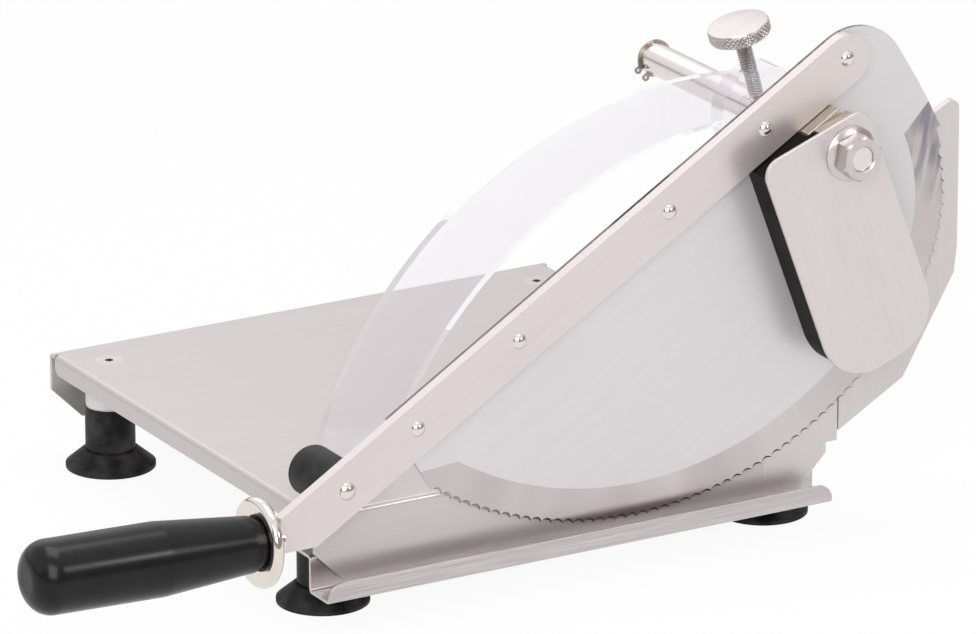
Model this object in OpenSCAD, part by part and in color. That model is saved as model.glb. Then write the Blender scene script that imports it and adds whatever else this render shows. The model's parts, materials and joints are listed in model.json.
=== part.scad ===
// Hand lever bread slicer, all lengths in millimetres.
// Sizes are set out from the pivot axis, where it meets the front face of the blade:
// X runs right along the blade, Y runs back over the board, Z runs up.
// The finished part is moved so that the middle of its footprint on the table is the origin.

/* [Base] */
// Depth of the board from the front wall to the rear wall
base_depth = 273; // [240:1:310]
// Thickness of the folded base sheet
sheet = 2; // [1.5:0.1:2.5]
// Outside radius of the folds in the base sheet
fold_radius = 3; // [2.8:0.1:4.5]
// Height of the short side flanges
flange_height = 10; // [8:0.5:14]
// Thickness of the gutter sheet
gutter_sheet = 1.5; // [1:0.1:2]

/* [Feet] */
// Height of one rubber foot
foot_height = 32; // [26:0.5:40]
// Diameter of the post of a foot
post_diameter = 25; // [22:0.5:28]
// Diameter of the suction cup at the table
cup_diameter = 45; // [38:0.5:52]
// Length of the sleeve between a foot and the board
sleeve_length = 21; // [17:0.5:25]

/* [Lever] */
// Height of the pivot axis above the board
pivot_rise = 141.3; // [135:0.1:147]
// Width of the flat lever bar
bar_width = 24.7; // [21:0.1:28]
// Thickness of the flat lever bar
bar_thickness = 5.5; // [4.5:0.5:7]
// Diameter of the rubber buffer
buffer_diameter = 25; // [22:0.5:28]
// Length of the rubber buffer
buffer_length = 30; // [24:0.5:36]

/* [Blade] */
// Radius of the long part of the cutting edge
blade_radius = 197; // [188:0.5:206]
// Radius of the cutting edge at the heel
heel_arc = 99.5; // [94:0.5:105]
// Depth of the lowest point of the edge below the pivot axis
blade_drop = 172.8; // [168:0.1:177]
// Thickness of the blade
blade_sheet = 2; // [1.5:0.1:2.5]
// Width of the ground bevel
bevel_width = 17.8; // [14:0.2:22]
// Depth of the ground bevel at the cutting edge
bevel_depth = 1.2; // [0.8:0.1:1.5]
// Distance from one tooth to the next
tooth_pitch = 6; // [5:0.25:8]
// Depth of the hollow between two teeth
tooth_depth = 1.3; // [0.8:0.1:1.8]

/* [Handle] */
// Length of the grip
grip_length = 118.5; // [105:0.5:135]
// Largest diameter of the grip
grip_diameter = 35.8; // [32:0.1:40]
// Diameter of the grip next to the ferrule
grip_root = 27.2; // [24:0.1:30]
// Length of the taper between the two diameters
grip_taper = 48; // [36:0.5:60]
// Radius of the rounded end of the grip
grip_round = 12; // [8:0.5:15]
// Diameter of the ferrule
ferrule_diameter = 43.6; // [39:0.1:48]

/* [Pivot] */
// Diameter of the shaft behind the upright
shaft_diameter = 16; // [15:0.5:18]
// Length of the shaft behind the blade front
shaft_reach = 160.5; // [130:0.5:200]
// Width of the cover plate
cover_width = 62.4; // [56:0.2:70]
// Length of the cover plate
cover_length = 128; // [115:0.5:140]

/* [Guard] */
// Distance from the blade front to the guard front
guard_setback = 51; // [42:0.5:70]
// Thickness of the guard plate
guard_sheet = 5; // [4:0.5:7]
// Thickness of the guard hub along the shaft
hub_depth = 16; // [14:0.5:22]
// Radius of the guard hub
hub_radius = 23.3; // [20:0.1:26]
// Diameter of the thumb screw head
thumb_diameter = 30.8; // [24:0.1:36]
// Diameter of the thumb screw thread
thumb_thread = 8; // [6:0.5:9]

/* [Hidden] */
$fn = 96;
// Gap between faces that move past each other
run_gap = 0.3;
// Radial clearance of a running bore
bore_gap = 0.05;
// Overlap of a cutting body past the face it cuts
past = 1;
// Length of flat sheet that a fold shares at each end
fold_lap = 0.5;

// Lever, set out along the bar (s) and square to it (n)
lever_angle = 31.6;
bar_foot = 17.6;
bar_top = bar_foot + bar_width;
bar_mid = bar_foot + bar_width / 2;
bar_end = 29;
z_board = -pivot_rise;
buffer_z = z_board + buffer_diameter / 2 + run_gap;
buffer_sink = 0.3;
buffer_n = bar_mid - buffer_sink;
buffer_s = (buffer_z - buffer_n * cos(lever_angle)) / sin(lever_angle);
buffer_x = buffer_s * cos(lever_angle) - buffer_n * sin(lever_angle);
bar_drop = 24.4;
bar_low = buffer_z - bar_drop;

// Blade, in the same lever frame: a long arc that runs on into a shorter one at the heel
arc_x = -105.6;
arc_z = blade_radius - blade_drop;
arc_s = arc_x * cos(lever_angle) + arc_z * sin(lever_angle);
arc_n = arc_z * cos(lever_angle) - arc_x * sin(lever_angle);
arc_turn = -70.3;
heel_at = [arc_s, arc_n] + (blade_radius - heel_arc) * [cos(arc_turn), sin(arc_turn)];
toe_inset = 36.2;
blade_toe = buffer_s + toe_inset;
blade_top = bar_top;
heel_s = 56.5;
heel_n = -37.6;
heel_step = 1.2;
heel_radius = 29;
bevel_slope = bevel_depth / bevel_width;
tooth_cut = (tooth_pitch * tooth_pitch / 4 + tooth_depth * tooth_depth) / (2 * tooth_depth);
tooth_step = tooth_pitch / blade_radius * 180 / PI;
tooth_count = floor(84 / tooth_step);
heel_tooth_step = tooth_pitch / heel_arc * 180 / PI;
heel_tooth_count = floor(50 / heel_tooth_step);
// Where the ground bevel runs out at the heel and at the toe
runout_heel = [39.6, -26.1];
runout_heel_turn = 14.9;
runout_toe = [-239.3, -1.3];
runout_toe_turn = -27.1;
runout_lean = 83.5;
runout_split = -200;
rivet_rise = 0.4;
rivet_n = bar_mid + rivet_rise;
toe_rivet = 8.9;
rivet_s = [bar_end, -24.4, -86.9, -183.6, blade_toe + toe_rivet];
rivet_hole = 5;
rivet_head = 7.6;
rivet_dome = 2.2;
buffer_head = 8.8;
buffer_dome = 2.4;

// Base and feet
x_right = 5.3;
board_past = 12.7;
x_left = buffer_x - board_past;
blade_gap = 2;
y_front = blade_sheet + blade_gap;
y_rear = y_front + base_depth;
z_post = z_board - sheet - sleeve_length;
z_table = z_post - foot_height;
edge_gap = 4.4;
gutter_leg = 8;
z_wall = min(-blade_drop - edge_gap, z_post - gutter_leg);
wall_height = z_board - z_wall;
wall_chamfer = 16.5;
relief_length = 2;
corner_relief = fold_radius + relief_length;
relief_gap = 0.6;
flange_round = 4;
upright_sheet = 4;
y_upright = y_front + upright_sheet;
boss_radius = 30;
foot_left = 20;
foot_right = 18.2;
foot_front = 28.8;
foot_rear = 25.4;
foot_x = [x_left + foot_left, x_right - foot_right];
foot_y = [y_front + foot_front, y_rear - foot_rear];
sleeve_diameter = post_diameter - 1;
screw_diameter = 6;
screw_head = 13;
screw_grip = 12;
screw_socket = 4.6;
foot_bore = 14;
cup_hollow = 4;
cup_rim = 2;
cup_edge = 1.8;
cup_height = 9.2;
cup_step = 1.2;
groove_depth = 1;
groove_top = 10.4;

// Heel guard on the upright
tab_x = 11.6;
tab_drop = 14.2;
tab_z = z_board - tab_drop;
slot_width = 0.8;
slot_rise = 26;
slot_top = z_board + slot_rise;
wing_x = 79.5;
wing_slope = 23.2;
wing_round = 4.4;
wing_top = 3.1;
wing_run = 52;
wing_foot = 9.2;
wing_turn = [49.2, 11.8];
wing_bend = [77.9, 60.9];
wing_side = 73.9;
wing_neck = 20;

// Gutter
gutter_fold = gutter_sheet + 1;
y_gutter = y_upright + run_gap;
y_lip = -10;
gutter_short = 4.8;
gutter_end = x_right - gutter_short;
gutter_drop = 2.8;
z_gutter = z_wall - gutter_drop - gutter_sheet;
lip_height = 10;
lip_round = 8;
flange_past = 3;
gutter_flange = foot_y[0] + post_diameter / 2 + flange_past;

// Handle, set out from the end of the bar
tilt = 2;
root_reach = 36;
root_drop = 18;
root_x = buffer_x - root_reach;
root_z = buffer_z - root_drop;
root_y = -bar_thickness / 2;
tang_diameter = 12;
tang_short = 10;
ferrule_neck = 7.1;
neck_diameter = 16;
ferrule_rim = 6;
ferrule_length = ferrule_neck + ferrule_rim;
grip_neck = 2.2;
neck_step = 1.6;
taper_from = ferrule_length + grip_neck;
grip_end = ferrule_length + grip_length;

// Pivot, stacked forward from the blade
journal = shaft_diameter - 2;
stud = shaft_diameter - 4;
bush_diameter = journal + 2;
block_half = 10;
hub_gap = 0.4;
hub_top = bar_foot - hub_gap;
hub_low = 14;
block_top = 16;
hub_stand = 7.5;
block_depth = 7.7;
y_hub = -(bar_thickness + hub_stand);
y_block = y_hub - run_gap;
y_cover = y_block - block_depth;
cover_sheet = 2;
y_nut = y_cover - cover_sheet;
nut_height = 9;
nut_flange = 26;
nut_rim = 2;
nut_flats = 18;
stud_tip = 1.5;
y_stud = y_nut - nut_height - stud_tip;
pocket = norm([block_half, hub_top]) + 2 * run_gap;
cover_angle = 20.5;
cover_right = 16.2;
cover_high = 17.5;
cover_round = 25;
cover_corner = 9;
pad_gap = 0.4;
y_pad = -pad_gap;
collar_length = 8;
collar_rim = 8;
washer_rim = 10;
clip_sheet = 1;
clip_rim = 1.5;
clip_tail = 2;
clip_at = shaft_reach - clip_tail - clip_sheet;
clip_bore = shaft_diameter - 1;
clip_lug = 1.9;
clip_eye = 0.8;
clip_spread = 3.1;
clip_ear = 2.6;
clip_reach = clip_bore / 2 + clip_ear;

// Guard
guard_outer = 221.2;
guard_inner = 222.9;
guard_outer_at = [-39.4, -196.8];
guard_inner_at = [-6.4, -223.1];
guard_foot = z_board + 1;
thumb_lean = 16.2;
thumb_at = guard_setback + hub_depth / 2;
thumb_top = 47.2;
thumb_head = 6.7;
thumb_tip = shaft_diameter / 2 + run_gap;

// Move from the pivot to the middle of the footprint
x_low = root_x - grip_end * cos(tilt) - (grip_diameter / 2 - grip_round) * sin(tilt);
shift = [-(x_low + wing_x) / 2, -(y_stud + y_rear) / 2, -z_table];

// Placing helpers

module placed() {
    translate(shift)
        children();
}

module in_lever() {
    rotate([0, -lever_angle, 0])
        children();
}

module in_cover() {
    rotate([0, -cover_angle, 0])
        children();
}

module in_handle() {
    translate([root_x, root_y, root_z])
        rotate([0, tilt - 90, 0])
            children();
}

// A flat outline drawn in X and Z, given thickness from y0 back to y1
module slab(y0, y1) {
    translate([0, y1, 0])
        rotate([90, 0, 0])
            linear_extrude(height = y1 - y0)
                children();
}

// A section drawn in Y and Z, run from x0 to x1
module along_x(x0, x1) {
    translate([x0, 0, 0])
        rotate([90, 0, 90])
            linear_extrude(height = x1 - x0)
                children();
}

// A round bar along Y
module rod(y0, y1, d) {
    slab(y0, y1)
        circle(d = d);
}

// A quarter turn of folded sheet that runs on into the flat sheet at both ends:
// turn 0 is the fold between a top face and a right-hand wall
module fold(at, turn, r, t) {
    translate(at)
        rotate(turn * 90) {
            intersection() {
                difference() {
                    circle(r = r);
                    circle(r = r - t);
                }
                square(r + past);
            }
            translate([r - t, -fold_lap])
                square([t, fold_lap]);
            translate([-fold_lap, r - t])
                square([fold_lap, t]);
        }
}

// The waste outside a rounded corner: turn 0 has the outline to the right and above
module corner(at, turn, r) {
    translate(at)
        rotate(turn * 90)
            difference() {
                translate([-past, -past])
                    square(r + past);
                translate([r, r])
                    circle(r = r);
            }
}

// A rectangle with one radius for the lower and one for the upper corners
module card(x0, x1, z0, z1, low, high) {
    difference() {
        translate([x0, z0])
            square([x1 - x0, z1 - z0]);
        corner([x0, z0], 0, low);
        corner([x1, z0], 1, low);
        corner([x1, z1], 2, high);
        corner([x0, z1], 3, high);
    }
}

// Base

module wall_section() {
    translate([y_front + fold_radius, z_board - sheet])
        square([base_depth - 2 * fold_radius, sheet]);
    translate([y_front, z_wall])
        square([sheet, wall_height - fold_radius]);
    translate([y_rear - sheet, z_wall])
        square([sheet, wall_height - fold_radius]);
    fold([y_front + fold_radius, z_board - fold_radius], 1, fold_radius, sheet);
    fold([y_rear - fold_radius, z_board - fold_radius], 0, fold_radius, sheet);
}

module wall_waste() {
    polygon([
        [x_left - past, z_wall + wall_chamfer + past],
        [x_left + wall_chamfer + past, z_wall - past],
        [x_left - past, z_wall - past]
    ]);
    polygon([
        [x_right + past, z_wall + wall_chamfer + past],
        [x_right - wall_chamfer - past, z_wall - past],
        [x_right + past, z_wall - past]
    ]);
}

module side_flange(x_face, x_fold, turn) {
    y0 = y_front + corner_relief + relief_gap;
    y1 = y_rear - corner_relief - relief_gap;
    slab(y0, y1)
        fold([x_fold, z_board - fold_radius], turn, fold_radius, sheet);
    along_x(x_face, x_face + sheet)
        difference() {
            translate([y0, z_board - flange_height])
                square([y1 - y0, flange_height - fold_radius]);
            corner([y0, z_board - flange_height], 0, flange_round);
            corner([y1, z_board - flange_height], 1, flange_round);
        }
}

module base_frame() {
    color("silver") placed()
        difference() {
            union() {
                difference() {
                    along_x(x_left, x_right)
                        wall_section();
                    slab(y_front - past, y_rear + past)
                        wall_waste();
                    translate([x_left - past, y_front + corner_relief, z_board - fold_radius])
                        cube([fold_radius + past, base_depth - 2 * corner_relief, fold_radius + past]);
                    translate([x_right - fold_radius, y_front + corner_relief, z_board - fold_radius])
                        cube([fold_radius + past, base_depth - 2 * corner_relief, fold_radius + past]);
                    translate([-boss_radius, y_front - past, z_wall - past])
                        cube([boss_radius + x_right + past, upright_sheet + past, wall_height + 2 * past]);
                }
                side_flange(x_left, x_left + fold_radius, 1);
                side_flange(x_right - sheet, x_right - fold_radius, 0);
            }
            for (x = foot_x, y = foot_y)
                translate([x, y, z_board - sheet])
                    cylinder(h = sheet, d1 = screw_head - 2 * sheet, d2 = screw_head);
        }
}

module upright_outline() {
    wing_end = [wing_x - wing_round, wing_top];
    difference() {
        union() {
            circle(r = boss_radius);
            translate([-boss_radius, tab_z])
                square([boss_radius + tab_x, -tab_z]);
            polygon([
                [-boss_radius, z_wall],
                [x_right - wall_chamfer, z_wall],
                [x_right, z_wall + wall_chamfer],
                [x_right, tab_z + past],
                [-boss_radius, tab_z + past]
            ]);
            polygon([
                [tab_x - past, z_board - wing_foot],
                [tab_x + slot_width, z_board - wing_foot],
                wing_turn + [0, z_board],
                wing_bend + [0, z_board],
                [wing_x, z_board + wing_side],
                [wing_x, wing_end[1]],
                wing_end + wing_round * [-sin(wing_slope), cos(wing_slope)],
                [wing_end[0] - wing_run, wing_end[1] - wing_run * tan(wing_slope)],
                [tab_x - past, -wing_neck]
            ]);
            translate(wing_end)
                circle(r = wing_round);
        }
        circle(d = shaft_diameter);
        translate([tab_x, tab_z - past])
            square([slot_width, slot_top - tab_z + past]);
    }
}

module upright_plate() {
    color("silver") placed()
        slab(y_front, y_upright)
            upright_outline();
}

module gutter_section() {
    z_flange = z_post + gutter_sheet;
    y_back = y_gutter + gutter_sheet;
    translate([y_gutter + gutter_fold, z_post])
        square([gutter_flange - y_gutter - gutter_fold, gutter_sheet]);
    fold([y_gutter + gutter_fold, z_flange - gutter_fold], 1, gutter_fold, gutter_sheet);
    translate([y_gutter, z_gutter + gutter_fold])
        square([gutter_sheet, z_flange - z_gutter - 2 * gutter_fold]);
    fold([y_back - gutter_fold, z_gutter + gutter_fold], 3, gutter_fold, gutter_sheet);
    translate([y_lip + gutter_fold, z_gutter])
        square([y_back - y_lip - 2 * gutter_fold, gutter_sheet]);
    fold([y_lip + gutter_fold, z_gutter + gutter_fold], 2, gutter_fold, gutter_sheet);
    translate([y_lip, z_gutter + gutter_fold])
        square([gutter_sheet, lip_height - gutter_fold]);
}

module crumb_gutter() {
    z_lip = z_gutter + lip_height;
    color("silver") placed()
        difference() {
            along_x(x_left, gutter_end)
                gutter_section();
            slab(y_lip - past, y_lip + gutter_sheet + past) {
                corner([x_left, z_lip], 3, lip_round);
                corner([gutter_end, z_lip], 2, lip_round);
            }
            for (x = foot_x)
                translate([x, foot_y[0], z_post - past])
                    cylinder(h = gutter_sheet + 2 * past, d = screw_diameter);
        }
}

// Feet

module foot(x, y) {
    post = post_diameter / 2;
    cup = cup_diameter / 2;
    color("dimgray") placed()
        translate([x, y, z_table])
            difference() {
                rotate_extrude()
                    polygon([
                        [0, cup_hollow], [cup * 0.6, cup_hollow * 0.6],
                        [cup - cup_rim, 0], [cup, 0], [cup, cup_edge],
                        [post + cup_step, cup_height], [post - groove_depth, cup_height],
                        [post - groove_depth, groove_top], [post, groove_top],
                        [post, foot_height], [0, foot_height]
                    ]);
                translate([0, 0, foot_height - foot_bore])
                    cylinder(h = foot_bore + past, d = screw_diameter);
            }
}

module sleeve(x, y, z_low) {
    color("white") placed()
        translate([x, y, z_low])
            difference() {
                cylinder(h = z_board - sheet - z_low, d = sleeve_diameter);
                translate([0, 0, -past])
                    cylinder(h = sleeve_length + 2 * past, d = screw_diameter);
            }
}

module foot_front_left() {
    foot(foot_x[0], foot_y[0]);
}

module foot_front_right() {
    foot(foot_x[1], foot_y[0]);
}

module foot_rear_left() {
    foot(foot_x[0], foot_y[1]);
}

module foot_rear_right() {
    foot(foot_x[1], foot_y[1]);
}

module sleeve_front_left() {
    sleeve(foot_x[0], foot_y[0], z_post + gutter_sheet);
}

module sleeve_front_right() {
    sleeve(foot_x[1], foot_y[0], z_post + gutter_sheet);
}

module sleeve_rear_left() {
    sleeve(foot_x[0], foot_y[1], z_post);
}

module sleeve_rear_right() {
    sleeve(foot_x[1], foot_y[1], z_post);
}

module foot_screws() {
    color("silver") placed()
        for (x = foot_x, y = foot_y)
            translate([x, y, z_board])
                difference() {
                    union() {
                        translate([0, 0, -sheet])
                            cylinder(h = sheet, d1 = screw_head - 2 * sheet, d2 = screw_head);
                        translate([0, 0, -sheet - sleeve_length - screw_grip])
                            cylinder(h = sleeve_length + screw_grip + past, d = screw_diameter);
                    }
                    translate([0, 0, -sheet])
                        cylinder(h = sheet + 2 * past, d = screw_socket, $fn = 6);
                }
}

// Shaft

module pivot_shaft() {
    color("gainsboro") placed()
        difference() {
            union() {
                rod(y_front, shaft_reach, shaft_diameter);
                rod(y_block, y_front, journal);
                rod(y_stud, y_block, stud);
            }
            slab(clip_at, clip_at + clip_sheet)
                difference() {
                    circle(d = shaft_diameter + past);
                    circle(d = clip_bore);
                }
        }
}

module shaft_collar() {
    color("silver") placed()
        slab(y_upright, y_upright + collar_length)
            difference() {
                circle(d = shaft_diameter + 2 * collar_rim);
                circle(d = shaft_diameter);
            }
}

module shaft_circlip() {
    color("dimgray") placed()
        slab(clip_at, clip_at + clip_sheet)
            rotate(225)
                difference() {
                    union() {
                        difference() {
                            circle(d = shaft_diameter + 2 * clip_rim);
                            polygon([[0, 0], [shaft_diameter, clip_spread], [shaft_diameter, -clip_spread]]);
                        }
                        translate([clip_reach, clip_spread])
                            circle(r = clip_lug);
                        translate([clip_reach, -clip_spread])
                            circle(r = clip_lug);
                    }
                    circle(d = clip_bore);
                    translate([clip_reach, clip_spread])
                        circle(r = clip_eye);
                    translate([clip_reach, -clip_spread])
                        circle(r = clip_eye);
                }
}

module thrust_washer() {
    color("peru") placed()
        slab(blade_sheet + run_gap, y_front)
            difference() {
                circle(d = journal + 2 * washer_rim);
                circle(d = journal);
            }
}

// Blade and lever

// The half plane on the toe side of the point where the two arcs of the edge meet
module toe_side() {
    translate([arc_s, arc_n])
        rotate(arc_turn)
            translate([-2 * blade_radius, -4 * blade_radius])
                square(4 * blade_radius);
}

// The half plane on the heel side, from the middle of a tooth on the shorter arc
module heel_side() {
    translate(heel_at)
        rotate(arc_turn + 1.5 * heel_tooth_step)
            translate([-2 * blade_radius, 0])
                square(4 * blade_radius);
}

module edge_outline() {
    intersection() {
        translate([arc_s, arc_n])
            circle(r = blade_radius, $fn = 360);
        toe_side();
    }
    translate(heel_at)
        circle(r = heel_arc, $fn = 360);
    polygon([
        [0, heel_n], [heel_s - heel_step, heel_n], [heel_s, heel_n + heel_radius],
        [heel_s, blade_top], [0, blade_top]
    ]);
}

module teeth() {
    translate([arc_s, arc_n])
        for (i = [0 : tooth_count])
            rotate(arc_turn - (i + 0.5) * tooth_step)
                translate([blade_radius + tooth_cut - tooth_depth, 0])
                    circle(r = tooth_cut, $fn = 24);
    translate(heel_at)
        for (i = [0 : heel_tooth_count])
            rotate(arc_turn + (i + 0.5) * heel_tooth_step)
                translate([heel_arc + tooth_cut - tooth_depth, 0])
                    circle(r = tooth_cut, $fn = 24);
}

module blade_outline() {
    difference() {
        intersection() {
            edge_outline();
            translate([blade_toe, -2 * blade_radius])
                square([heel_s - blade_toe, 2 * blade_radius + blade_top]);
        }
        corner([heel_s, blade_top], 2, heel_radius);
        teeth();
        circle(d = bush_diameter);
        for (s = rivet_s)
            translate([s, rivet_n])
                circle(d = rivet_hole);
    }
}

// The cone that the bevel is ground to, round one arc of the edge
module grind(at, r) {
    translate([at[0], 0, at[1]])
        rotate([90, 0, 0])
            rotate_extrude($fn = 360)
                polygon([
                    [r - bevel_width - past, past * bevel_slope],
                    [r + tooth_pitch, past * bevel_slope],
                    [r + tooth_pitch, -bevel_slope * (bevel_width + tooth_pitch)]
                ]);
}

// The space below a sloping end of the bevel
module runout(at, turn) {
    translate([at[0], 0, at[1]])
        rotate([0, -turn, 0])
            rotate([-runout_lean, 0, 0])
                translate([-2 * blade_radius, -2 * blade_radius, -2 * blade_radius])
                    cube([4 * blade_radius, 4 * blade_radius, 2 * blade_radius]);
}

module bevel_waste() {
    intersection() {
        grind([arc_s, arc_n], blade_radius);
        slab(-blade_sheet, 2 * blade_sheet)
            translate([-2 * blade_radius, -2 * blade_radius])
                square([2 * blade_radius + runout_split, 4 * blade_radius]);
        runout(runout_toe, runout_toe_turn);
    }
    intersection() {
        grind([arc_s, arc_n], blade_radius);
        slab(-blade_sheet, 2 * blade_sheet)
            translate([runout_split, -2 * blade_radius])
                square([2 * blade_radius, 4 * blade_radius]);
    }
    intersection() {
        grind(heel_at, heel_arc);
        slab(-blade_sheet, 2 * blade_sheet)
            heel_side();
        runout(runout_heel, runout_heel_turn);
    }
}

module blade() {
    color("lightgray") placed() in_lever()
        difference() {
            slab(0, blade_sheet)
                blade_outline();
            bevel_waste();
        }
}

module bar_outline() {
    difference() {
        intersection() {
            union() {
                translate([-3 * blade_radius, bar_foot])
                    square([3 * blade_radius + bar_end, bar_width]);
                translate([bar_end, bar_mid])
                    circle(d = bar_width);
            }
            rotate(-lever_angle)
                translate([-3 * blade_radius, bar_low])
                    square(6 * blade_radius);
            rotate(-lever_angle)
                translate([root_x, root_z])
                    rotate(-tilt)
                        translate([0, -3 * blade_radius])
                            square(6 * blade_radius);
        }
        for (s = rivet_s)
            translate([s, rivet_n])
                circle(d = rivet_hole);
        translate([buffer_s, buffer_n])
            circle(d = screw_diameter);
    }
}

module lever_bar() {
    color("silver") placed() in_lever()
        slab(-bar_thickness, 0)
            bar_outline();
}

// A low domed head in front of the face y, round its own axis along Y
module dome(y, d, h) {
    ball = (d * d / 4 + h * h) / (2 * h);
    intersection() {
        translate([0, y + ball - h, 0])
            sphere(r = ball);
        rod(y - h - past, y, d + past);
    }
}

module blade_rivets() {
    color("gainsboro") placed() in_lever()
        for (s = rivet_s)
            translate([s, 0, rivet_n]) {
                dome(-bar_thickness, rivet_head, rivet_dome);
                rod(-bar_thickness, blade_sheet, rivet_hole);
            }
}

module lever_hub() {
    color("silver") placed() in_lever()
        slab(y_hub, 0)
            difference() {
                translate([-block_half, -hub_low])
                    square([2 * block_half, hub_low + hub_top]);
                circle(d = bush_diameter);
            }
}

module hub_bush() {
    color("peru") placed()
        slab(y_hub, blade_sheet)
            difference() {
                circle(d = bush_diameter);
                circle(d = journal + 2 * bore_gap);
            }
}

module stop_buffer() {
    color("dimgray") placed()
        translate([buffer_x, 0, buffer_z])
            difference() {
                rod(0, buffer_length, buffer_diameter);
                rod(-past, buffer_length / 2, screw_diameter);
            }
}

module buffer_screw() {
    color("gainsboro") placed()
        translate([buffer_x, 0, buffer_z]) {
            dome(-bar_thickness, buffer_head, buffer_dome);
            rod(-bar_thickness, buffer_length / 2, screw_diameter);
        }
}

// Handle

module handle_tang() {
    color("silver") placed() in_handle()
        cylinder(h = grip_end - tang_short, d = tang_diameter);
}

module handle_ferrule() {
    rim = ferrule_rim / 2;
    color("gainsboro") placed() in_handle()
        rotate_extrude()
            union() {
                polygon([
                    [tang_diameter / 2, 0], [neck_diameter / 2, 0],
                    [neck_diameter / 2, ferrule_neck / 2], [ferrule_diameter / 2 - rim, ferrule_neck],
                    [ferrule_diameter / 2 - rim, ferrule_length], [tang_diameter / 2, ferrule_length]
                ]);
                translate([ferrule_diameter / 2 - rim, ferrule_neck + rim])
                    circle(r = rim);
            }
}

module handle_grip() {
    color("dimgray") placed() in_handle()
        difference() {
            rotate_extrude()
                union() {
                    polygon([
                        [0, ferrule_length], [grip_root / 2 - neck_step, ferrule_length],
                        [grip_root / 2 - neck_step, taper_from], [grip_root / 2, taper_from],
                        [grip_diameter / 2, taper_from + grip_taper],
                        [grip_diameter / 2, grip_end - grip_round], [0, grip_end - grip_round]
                    ]);
                    translate([0, grip_end - grip_round])
                        square([grip_diameter / 2 - grip_round, grip_round]);
                    intersection() {
                        translate([grip_diameter / 2 - grip_round, grip_end - grip_round])
                            circle(r = grip_round);
                        translate([0, grip_end - grip_round])
                            square([grip_diameter, grip_round]);
                    }
                }
            translate([0, 0, ferrule_length - past])
                cylinder(h = grip_length - tang_short + past, d = tang_diameter);
        }
}

// Pivot guide

module guide_block() {
    color("silver") placed() in_cover()
        slab(y_cover, y_block)
            difference() {
                translate([-block_half, -block_top])
                    square([2 * block_half, 2 * block_top]);
                circle(d = stud);
            }
}

module cover_outline() {
    card(cover_right - cover_width, cover_right, cover_high - cover_length, cover_high,
        cover_round, cover_corner);
}

module pad_outline() {
    intersection() {
        cover_outline();
        rotate(lever_angle - cover_angle)
            translate([-2 * cover_length, bar_foot - pad_gap - 4 * cover_length])
                square(4 * cover_length);
    }
}

module guide_pad() {
    color("dimgray") placed() in_cover()
        difference() {
            slab(y_cover, y_pad)
                pad_outline();
            rod(y_block, past, 2 * pocket);
            slab(y_cover - past, y_block + past)
                translate([-block_half, -block_top])
                    square([2 * block_half, 2 * block_top]);
        }
}

module cover_plate() {
    color("silver") placed() in_cover()
        slab(y_nut, y_cover)
            difference() {
                cover_outline();
                circle(d = stud);
            }
}

module pivot_nut() {
    color("gainsboro") placed() in_cover()
        difference() {
            union() {
                rod(y_nut - nut_rim, y_nut, nut_flange);
                slab(y_nut - nut_height, y_nut - nut_rim)
                    circle(d = nut_flats / cos(30), $fn = 6);
            }
            rod(y_nut - nut_height - past, y_nut + past, stud);
        }
}

// Guard

module guard_outline() {
    intersection() {
        difference() {
            translate(guard_outer_at)
                circle(r = guard_outer, $fn = 360);
            translate(guard_inner_at)
                circle(r = guard_inner, $fn = 360);
        }
        translate([-2 * guard_outer, guard_foot])
            square([2 * guard_outer, 2 * guard_outer]);
    }
}

module in_thumb() {
    translate([0, thumb_at, 0])
        rotate([0, -thumb_lean, 0])
            children();
}

module hand_guard() {
    color("aliceblue", 0.4) placed()
        difference() {
            union() {
                slab(guard_setback, guard_setback + guard_sheet)
                    guard_outline();
                rod(guard_setback, guard_setback + hub_depth, 2 * hub_radius);
            }
            rod(guard_setback - past, guard_setback + hub_depth + past, shaft_diameter + 2 * bore_gap);
            in_thumb()
                cylinder(h = 2 * hub_radius, d = thumb_thread + 2 * bore_gap);
        }
}

module thumb_screw() {
    color("gainsboro") placed() in_thumb() {
        translate([0, 0, thumb_tip])
            cylinder(h = thumb_top - thumb_head - thumb_tip, d = thumb_thread);
        translate([0, 0, thumb_top - thumb_head])
            cylinder(h = thumb_head, d = thumb_diameter);
    }
}

base_frame();
upright_plate();
crumb_gutter();
foot_front_left();
foot_front_right();
foot_rear_left();
foot_rear_right();
sleeve_front_left();
sleeve_front_right();
sleeve_rear_left();
sleeve_rear_right();
foot_screws();
pivot_shaft();
shaft_collar();
shaft_circlip();
thrust_washer();
blade();
lever_bar();
blade_rivets();
lever_hub();
hub_bush();
stop_buffer();
buffer_screw();
handle_tang();
handle_ferrule();
handle_grip();
guide_block();
guide_pad();
cover_plate();
pivot_nut();
hand_guard();
thumb_screw();
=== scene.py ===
"""Looks of a hand lever bread slicer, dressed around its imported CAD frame.

Every length is in metres, in the frame of the CAD model: X runs right along the
blade, Y runs back over the board and Z runs up from the table.
"""

import json
import logging
import math
from collections.abc import Callable
from dataclasses import dataclass
from enum import Enum

import bmesh
import bpy
from mathutils import Matrix, Vector


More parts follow.
